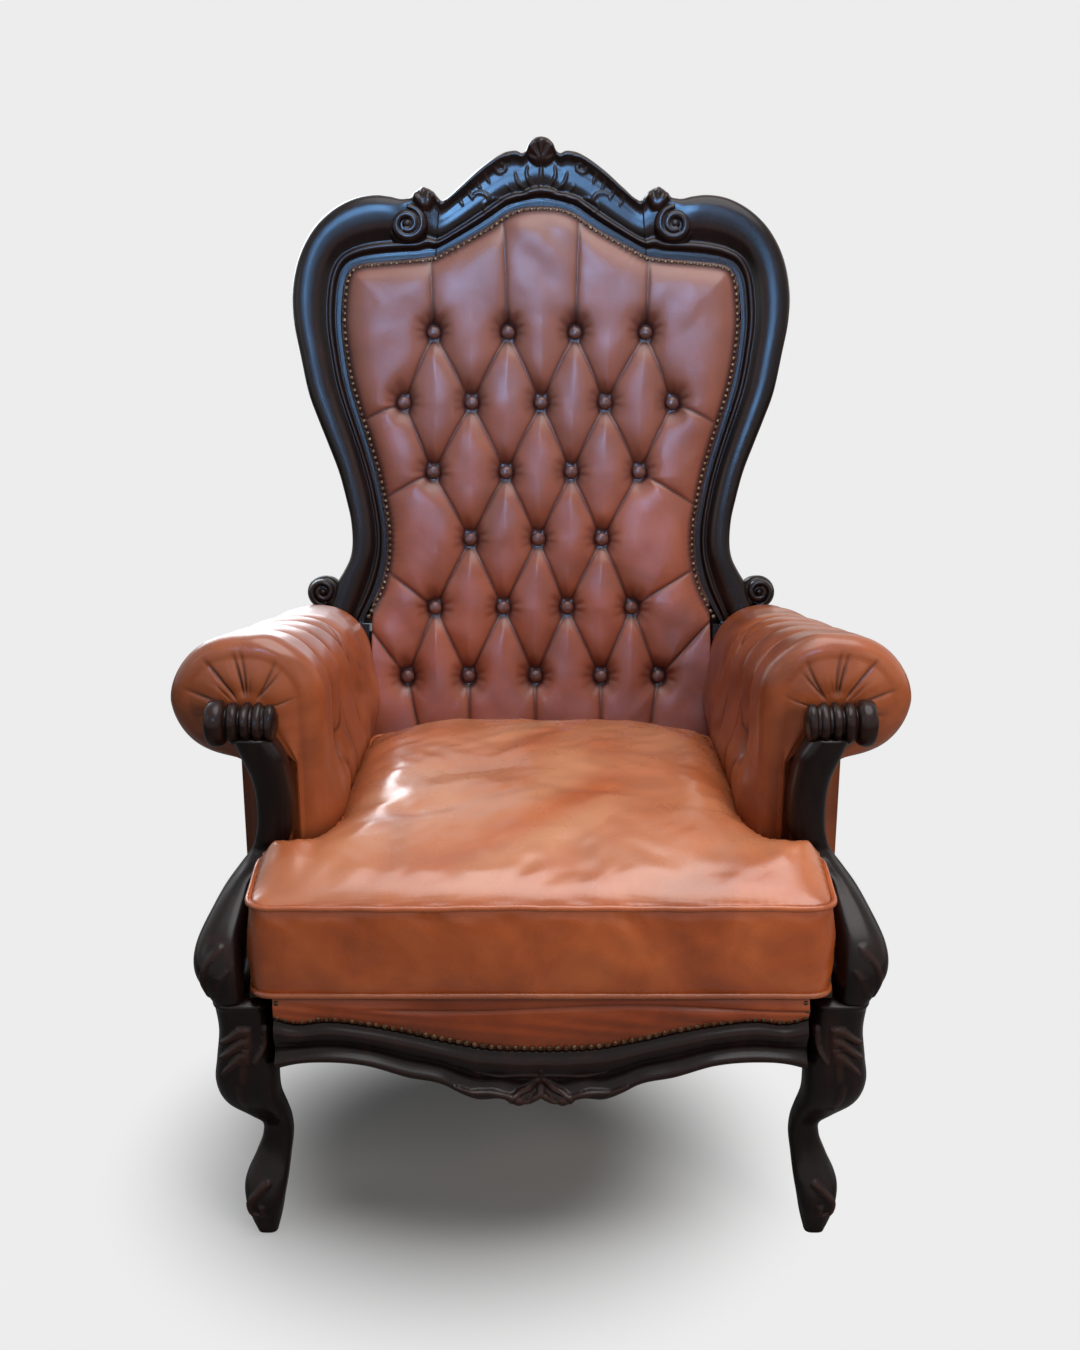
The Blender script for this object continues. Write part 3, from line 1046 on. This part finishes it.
def buildApron():
    x = np.linspace(-front["halfLength"], front["halfLength"], 420)
    edges = keyed(front["edges"], np.abs(x) / front["halfLength"])
    f = np.linspace(0, 1, 60)
    z = edges[:, :1] + (edges[:, 1:] - edges[:, :1]) * f
    flat = np.abs(x)[:, None] * np.ones_like(z)
    eye = 5.5 * np.sqrt(np.clip(1 - (np.hypot(flat - 24, z - 184) / 6.5)**2, 0, 1))
    relief = np.maximum(carved(flat, z, front["drop"]), eye)
    high = keyed(front["profile"], f)[:, 0] * front["relief"] + relief * 0.9
    rub = relief / 7 + 0.4 * np.exp(-((f - 0.13) / 0.08)**2) + 0.3 * np.exp(-((f - 0.78) / 0.08)**2)
    loop = [np.stack([np.broadcast_to(x[:, None], z.shape), front["y"] - high, z], axis=-1)]
    for share, depth in ((1.0, 0.6), (0.97, 1.0), (0.03, 1.0), (0.0, 0.6)):
        level = edges[:, :1] + (edges[:, 1:] - edges[:, :1]) * share
        y = np.full(level.shape, front["y"] + front["behind"] * depth)
        loop.append(np.stack([x[:, None], y, level], axis=-1))
    moulded = cappedTube(np.concatenate(loop, axis=1) * mm)
    heights = (edges.min(0)[1] - 14, front["boardTop"])
    board = [[(at, front["y"] + back, heights[up]) for back, up in front["board"]]
             for at in np.linspace(-front["halfLength"], front["halfLength"], 24)]
    rub = np.pad(np.clip(rub, 0, 1), ((0, 0), (0, 4)))
    verts, faces, rub = joinMeshes((*moulded, rub), (*cappedTube(np.array(board, float) * mm), 0))
    makePiece("apron", "front_seat_rail", verts, faces, {"rub": rub}, showWood, "carved_wood")


def buildBorder():
    x = np.linspace(-front["halfLength"], front["halfLength"], 380)
    low, high = keyed(front["edges"], np.abs(x) / front["halfLength"])[:, 1] + front["lineAbove"], front["top"]
    f = np.linspace(0, 1, 40)
    z = low[:, None] + (high - low[:, None]) * f
    stress = ripples(x[:, None] * 0.35 + z * 1.4, z * 2 + x[:, None] * 0.1, 46, 51)
    bulge = 6.5 * np.sin(np.clip(f * 1.05, 0, 1)**0.8 * math.pi * 0.86) + 0.9 * stress * np.sin(f * math.pi)
    crease = np.exp(-((z - (291 + 3 * np.sin(x / 60))[:, None]) / 1.8)**2) * smoothStep(0, 60, x + 200)[:, None]
    bulge = bulge - crease * 2.2
    loop = np.stack([np.broadcast_to(x[:, None], z.shape), front["y"] - 0.6 - bulge, z], axis=-1)
    rear = [np.column_stack([x, np.full_like(x, front["y"] + 13.6), level]) for level in (np.full_like(x, high), low)]
    verts, faces = cappedTube(np.concatenate([loop, np.stack(rear, axis=1)], axis=1) * mm)
    fold = np.clip(0.9 * np.exp(-(1 - f) / 0.10) + 0.55 * np.exp(-f / 0.08) + 0.5 * crease, 0, 1)
    fold = np.pad(fold, ((0, 0), (0, 2)))
    made = makePiece("frontBorder", "front_border", verts, faces, {"fold": fold}, borderLeather, "seat_leather")


buildApron()
buildBorder()
print("front made")

legs = dict(
    # height, outer, inner, front, rear
    leg=[(290, 349.9, 290.0, -402.1, -337.8), (255.2, 346.0, 285.5, -404.2, -337.8),
         (223.9, 348.8, 284.8, -409.9, -344.0), (198.9, 350.9, 284.8, -412.0, -350.2),
         (171.1, 342.1, 284.1, -404.2, -351.8), (147.9, 322.1, 279.1, -388.1, -350.2),
         (132.0, 309.1, 277.0, -377.8, -346.1), (113.1, 309.1, 276.0, -374.1, -344.0),
         (86.1, 318.9, 279.1, -379.9, -346.1), (62.9, 329.1, 282.0, -391.8, -350.2),
         (40.0, 328.1, 286.2, -398.0, -353.9), (19.1, 323.1, 290.0, -393.9, -360.1),
         (0, 317.2, 295.0, -388.1, -363.8)],
    post=[(290.0, 350.1, 314.0, -401.2, -339.4), (304.1, 358.0, 314.0, -404.0, -334.1),
          (325.1, 368.0, 314.0, -404.0, -330.1), (349.1, 367.1, 314.0, -393.9, -315.9),
          (370.0, 357.0, 314.0, -372.1, -294.1), (386.0, 347.0, 313.1, -347.8, -275.9),
          (400.1, 335.0, 310.9, -323.2, -263.8), (416.1, 321.9, 287.9, -298.2, -256.1),
          (436.0, 314.9, 276.0, -296.9, -254.5), (466.1, 312.1, 271.9, -296.9, -254.5),
          (503.9, 315.9, 274.1, -300.2, -255.3), (530.1, 325.0, 279.5, -305.0, -256.1),
          (552.2, 332.8, 292.0, -307.0, -258.6)],
    spokes=112,
    # ridges and grooves on the front: path, width at its start and at its end, height
    legLines=[
        ([(300, 288), (300, 262), (305, 236), (309, 205), (300, 172), (290, 140), (287, 108), (290, 70),
          (299, 34)], 3.4, 1.8, -2.6),
        ([(318, 262), (328, 254), (340, 246)], 5.0, 2.5, 4.6), ([(316, 250), (328, 240), (341, 230)], 5.0, 2.5, 4.4),
        ([(314, 238), (325, 227), (338, 214)], 5.0, 2.2, 4.0),
        ([(312, 262), (312, 240), (318, 214), (322, 190), (314, 166)], 4.5, 1.5, 4.0),
        ([(292, 262), (296, 240), (304, 226)], 4.2, 1.8, 3.4),
        ([(303, 66), (313, 56), (322, 42), (318, 30), (309, 30), (309, 40)], 4.5, 2.4, 4.0),
    ],
    postLines=[
        ([(326, 296), (328, 330), (328, 360), (322, 392), (303, 424), (293, 450), (291, 490), (298, 530),
          (306, 552)], 3.2, 2.2, -2.6),
        ([(338, 352), (350, 340), (356, 320), (352, 300)], 4.0, 2.0, 2.4),
        ([(330, 330), (338, 318), (345, 300)], 3.0, 1.6, 1.8),
    ],
    # lobes of the knuckle: from, to, radius
    lobes=[(284, 300, 20.6), (297, 312, 22.0), (310, 325, 23.0), (322, 340, 23.6), (336, 364, 26.5)],
    knuckle=(-284, 566),
)


def upright(keys, rows, lower, upper):  # a grid of rounded squares, with its outer, inner, front and rear lines
    z = np.linspace(lower, upper, rows)
    lines = keyed(np.array(sorted(keys)), z).T
    outer, inner, ahead, rear = lines
    a = np.linspace(0, math.tau, legs["spokes"], endpoint=False)
    ux, uy = (np.sign(c) * np.abs(c)**(2 / 3.1) for c in (np.cos(a), np.sin(a)))
    x = ((outer + inner) / 2)[:, None] + ((outer - inner) / 2)[:, None] * ux
    y = ((ahead + rear) / 2)[:, None] + ((rear - ahead) / 2)[:, None] * uy
    return np.stack([x, y, np.broadcast_to(z[:, None], x.shape)], axis=-1), lines


def carveFront(grid, lines, strokes):  # ridges and grooves drawn on the front, as seen from ahead
    x, z = grid[..., 0], grid[..., 2]
    middle = np.stack([(lines[0] + lines[1]) / 2, (lines[2] + lines[3]) / 2], axis=-1)[:, None]
    out = grid[..., :2] - middle
    out = out / np.maximum(np.linalg.norm(out, axis=-1, keepdims=True), 1e-6)
    high = np.zeros(x.shape)
    for path, wide, narrow, height in strokes:
        mark = stroke(x, z, path, wide, narrow, abs(height), 60)
        high = high - mark if height < 0 else np.maximum(high, mark)
    high = high * smoothStep(0.25, -0.35, out[..., 1])
    grid[..., :2] += out * high[..., None]
    return grid, np.clip(high / 4, 0, 1)


def buildLegs():
    grid, rub = carveFront(*upright(legs["leg"], 190, 0.0, 290.0), legs["legLines"])
    ledge = np.exp(-((grid[..., 2] - 287) / 3.0)**2)
    centre = grid[..., :2].mean(1, keepdims=True)
    grid[..., :2] += (grid[..., :2] - centre) * (0.05 * ledge)[..., None]
    leg = cappedTube(grid * mm)
    grid, postRub = carveFront(*upright(legs["post"], 170, 290.0, 552.0), legs["postLines"])
    *post, postRub = joinMeshes((*cappedTube(grid * mm), postRub), knuckleMesh())
    for side in sides:
        makeSide(side, "FrontLeg", "_front_leg", *leg, {"rub": rub}, showWood, "carved_wood")
        makeSide(side, "ArmPost", "_arm_post", *post, {"rub": postRub}, showWood, "carved_wood")


def knuckleMesh():  # lobed scroll end that lies across the top of the post
    x = np.linspace(284, 363.5, 130)
    radius = np.full(x.shape, 18.4)
    for a, b, r in legs["lobes"]:
        f = (x - (a + b) / 2) / ((b - a) / 2)
        radius = np.maximum(radius, r * np.clip(1 - np.abs(f)**2.6, 0, 1)**0.42)
    radius = radius * np.sqrt(np.clip((x - 283.5) / 4, 0, 1) * np.clip((364 - x) / 5, 0, 1))
    x, radius = x[:, None], radius[:, None]
    a = np.linspace(0, math.tau, 90, endpoint=False)[None]
    wave = 1 + 0.05 * np.cos(a * 3 + x / 9) * smoothStep(338, 320, x)
    y = legs["knuckle"][0] + radius * np.cos(a) * wave
    z = legs["knuckle"][1] + radius * np.sin(a) * wave * 0.98
    verts, faces = cappedTube(np.stack([np.broadcast_to(x, y.shape), y, z], axis=-1) * mm)
    return verts, faces, (radius > 20) * 0.4 * np.ones_like(a)


buildLegs()
print("legs and posts made")

armButtonKind = dict(
    head=domeMesh("armButtonHead", [(6.0, -6), (8.2, -2.0), (8.4, 0.2), (7.4, 1.6), (5.0, 2.6), (1.5, 3.2)], 26, 0.2),
    finish=buttonLeather, slot="back_leather", spread=0.02, tilt=0.08, places=[(251.5, -150, 498), (244.5, 10, 455)])


def buildMoreHeads():
    x = np.linspace(-front["halfLength"] + 3, front["halfLength"] - 3, 300)
    z = keyed(front["edges"], np.abs(x) / front["halfLength"])[:, 1] + 5.0
    rise = np.array([[-front["halfLength"] + 4, 297.0], [-front["halfLength"] + 2, 288.0]])
    line = np.concatenate([rise, np.column_stack([x, z]), mirrored(rise)[::-1]])
    x, z = evenly(line, int(lengths(line)[-1] / 8.6)).T
    places = np.column_stack([x, np.full(len(x), front["y"] - 3.4), z]) * mm
    setOut("frontNails", "front_nail_band", places, (0, -1, 0), nailKind, 9)
    for side, sign in zip(sides, (1, -1)):
        spots = np.array(armButtonKind["places"]) * (sign, 1, 1) * mm
        setOut(side + "ArmButtons", side + "_arm_buttons", spots, (-sign, 0, 0), armButtonKind, 2)


buildMoreHeads()
for kind in (nailKind, buttonKind, armButtonKind):
    bpy.data.objects.remove(kind["head"])

armPanel = dict(
    low=290.5, start=-252.0, end=262.0, puff=5.0, rowsUp=44, columns=90,
    # the leather turns in behind the post: x and y, the middle ones measured from the panel's corner
    turned=[(297, -251.4), (316, -252.6), (332, -252.4)],
    corner=[(-1, -251.2), (1.2, -248.6), (0.8, -244), (-4, -244)], inwards=(297, -247), turnedTop=514)
backPanel = dict(
    # as for the tufted back
    columns=110, rowsUp=130, low=-112.0, foot=(270.0, 290, 300), widest=318, topFrom=640, beyond=None, start=240,
    over=0.62, puff=5.5, rear=30.4, front=-30.2)


def buildArmPanels():
    low, start, end = armPanel["low"], armPanel["start"], armPanel["end"]
    y = np.linspace(start, end, armPanel["columns"])[:, None]
    f = np.linspace(0, 1, armPanel["rowsUp"])[None]
    top = underRolls[0] * (1 - armShare(y)) + underRolls[1] * armShare(y)
    z = low + (top - low) * f
    rearY = backLine(z, 16.4)
    y = np.minimum(start + (y - start) * (rearY - start) / (end - start), rearY)
    edge = np.sin(f * math.pi)**0.6 * np.sin(np.clip((y - start) / 440, 0, 1) * math.pi)**0.5
    puff = armPanel["puff"] * 0.55 * edge + 0.8 * ripples(y, z, 110, 61) * edge
    outer, inner = (np.stack([x, y, z], axis=-1) for x in (sideLine(y) + puff, sideLine(y) - 4.6))
    fold = np.concatenate([0.5 * (1 - edge)] * 2, axis=1)
    panel = (*cappedTube(np.concatenate([outer, inner[:, ::-1]], axis=1) * mm), fold)
    corner = sideLine(start)
    section = armPanel["turned"] + [(corner + px, py) for px, py in armPanel["corner"]] + [armPanel["inwards"]]
    turned = [[(px, py, pz) for px, py in section] for pz in np.linspace(low, armPanel["turnedTop"], 40)]
    verts, faces = cappedTube(np.array(turned) * mm)
    verts, faces, fold = joinMeshes(panel, (verts, faces, np.full(len(verts), 0.25)))
    for side in sides:
        made = makeSide(side, "OutsideArm", "_outside_arm_panel", verts, faces, {"fold": fold}, armLeather,
                        "back_leather")


def buildBackPanel():
    outer, inner = frameEdges(placesAlong(0.0, 10.0, 500))
    x, s = fillOutline(inner + (outer - inner) * backPanel["over"], backPanel)
    rows, columns = x.shape
    t, r = np.linspace(-1, 1, columns)[None], np.linspace(0, 1, rows)[:, None]
    inside = np.clip(np.minimum(1 - np.abs(t)**6, 1 - np.abs(2 * r - 1)**8), 0, 1)
    puff = backPanel["puff"] * inside**0.6 + 0.9 * ripples(x, s, 160, 71) * inside
    layers = [onBack(x, s, high).reshape(-1, 3) for high in (-(backPanel["rear"] + puff), backPanel["front"])]
    faces, rim = gridFaces(rows, columns), gridRim(rows, columns)
    faces += [[k + x.size for k in face[::-1]] for face in faces]
    faces += [[b, a, a + x.size, b + x.size] for a, b in zip(rim, rim[1:] + rim[:1])]
    fold = np.tile((0.5 * (1 - inside)).ravel(), 2)
    made = makePiece("outsideBack", "outside_back_panel", np.concatenate(layers), faces, {"fold": fold}, backLeather,
                     "back_leather", weld=False)


buildArmPanels()
buildBackPanel()
print("outside panels made")

finishes = {
    "rear_leg": showWood, "side_seat_rail": showWood, "front_corner_block": rawWood, "rear_corner_block": rawWood,
    "arm_rail": rawWood, "lower_back_rail": rawWood, "rear_seat_rail": showWood, "back_webbing": webbing,
    "seat_webbing": webbing, "seat_deck": deckCloth,
}
for name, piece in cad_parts.items():  # solids that are shown as they are
    for key, material in finishes.items():
        if name.endswith(key):
            for place in piece.material_slots:
                place.material = material

pale = 0.845  # backdrop as the camera sees it


def backdrop():
    world = bpy.data.worlds.new("world")
    world.use_nodes = True
    scene.world = world
    tree = world.node_tree
    shown = tree.nodes["Background"]
    setInputs(shown, {"Color": (pale, pale, pale, 1)})
    light = node(tree, "ShaderNodeBackground", {"Color": (0.86, 0.92, 1.0, 1), "Strength": 0.05})
    path = node(tree, "ShaderNodeLightPath").outputs
    seen = maths(tree, "MAXIMUM", path["Is Camera Ray"], path["Is Transmission Ray"])
    seen = maths(tree, "MAXIMUM", seen, path["Is Glossy Ray"])
    mixShaders(tree, seen, light, shown, "World Output")


def floor():
    mesh = bpy.data.meshes.new("floor")
    mesh.from_pydata([(x, y, -0.0015) for x, y in ((-30, -8), (30, -8), (30, 60), (-30, 60))], [], [(0, 1, 2, 3)])
    ground = addObject("floor", mesh)
    material, tree, shader, where = newMaterial("floorPale")
    fromCamera = node(tree, "ShaderNodeLightPath").outputs["Is Camera Ray"]
    tint = mixColour(tree, fromCamera, (0.28, 0.28, 0.28), (0.38, 0.38, 0.38))
    tree.links.new(tint, shader.inputs["Base Color"])
    setInputs(shader, {"Roughness": 0.8, "Specular IOR Level": 0.2})
    oval = {"Vector": where, "Location": (0.19, 0.49, 0), "Scale": (2.10, 2.22, 0.0)}
    spread = node(tree, "ShaderNodeMapping", oval).outputs["Vector"]
    far = node(tree, "ShaderNodeVectorMath", {0: spread}, operation="LENGTH").outputs["Value"]
    shown = maths(tree, "MULTIPLY", mapped(tree, far, 0.30, 0.95, kind="SMOOTHSTEP"), fromCamera)
    glow = node(tree, "ShaderNodeEmission", {"Color": (pale, pale, pale, 1)})
    mixShaders(tree, shown, shader, glow, "Material Output")
    mesh.materials.append(material)


def lamp(name, place, target, size, power, colour, diffuse=True, glossy=True, spread=180):
    data = bpy.data.lights.new(name, "AREA")
    data.shape, data.size, data.energy, data.color, data.spread = "DISK", size, power, colour, math.radians(spread)
    made = addObject(name, data)
    made.visible_camera, made.visible_diffuse, made.visible_glossy = False, diffuse, glossy
    made.location = place
    made.rotation_euler = (Vector(target) - Vector(place)).to_track_quat("-Z", "Y").to_euler()


backdrop()
floor()
lamp("windowLamp", (-1.5, 2.2, 2.1), (-0.1, -0.1, 0.5), 2.0, 50, (0.80, 0.90, 1.0), diffuse=False)
lamp("paneLamp", (-0.80, 2.0, 1.15), (-0.32, -0.1, 0.62), 1.3, 15, (0.84, 0.92, 1.0), diffuse=False)
lamp("glossLamp", (-0.24, 0.15, 0.70), (-0.16, -0.25, 0.45), 0.45, 0.42, (0.80, 0.90, 1.0), diffuse=False)
lamp("skyLamp", (-0.25, -2.3, 2.65), (-0.05, 0.2, 1.18), 1.3, 4.2, (0.20, 0.50, 1.0), diffuse=False, spread=18)
lamp("topLamp", (0.35, -0.4, 2.9), (0, -0.1, 0.4), 2.2, 64, (0.99, 0.98, 1.0))
lamp("frontLamp", (1.5, -2.0, 1.35), (0, 0, 0.5), 1.2, 34, (1.0, 0.93, 0.86), glossy=False)
lamp("leftLamp", (-1.9, -1.1, 1.7), (0, 0, 0.7), 1.0, 3, (0.86, 0.93, 1.0))
lamp("rearLamp", (0.6, 3.0, 1.4), (0, 0, 0.6), 1.5, 9, (1.0, 0.97, 0.94), glossy=False)

camera = addObject("camera", bpy.data.cameras.new("camera"))
camera.location = (0, -1.82, 1.075)
camera.rotation_euler = (math.radians(90 - 16.5), 0, 0)
camera.data.lens, camera.data.sensor_width, camera.data.shift_x = 40, 36, -1 / 1350
scene.camera = camera
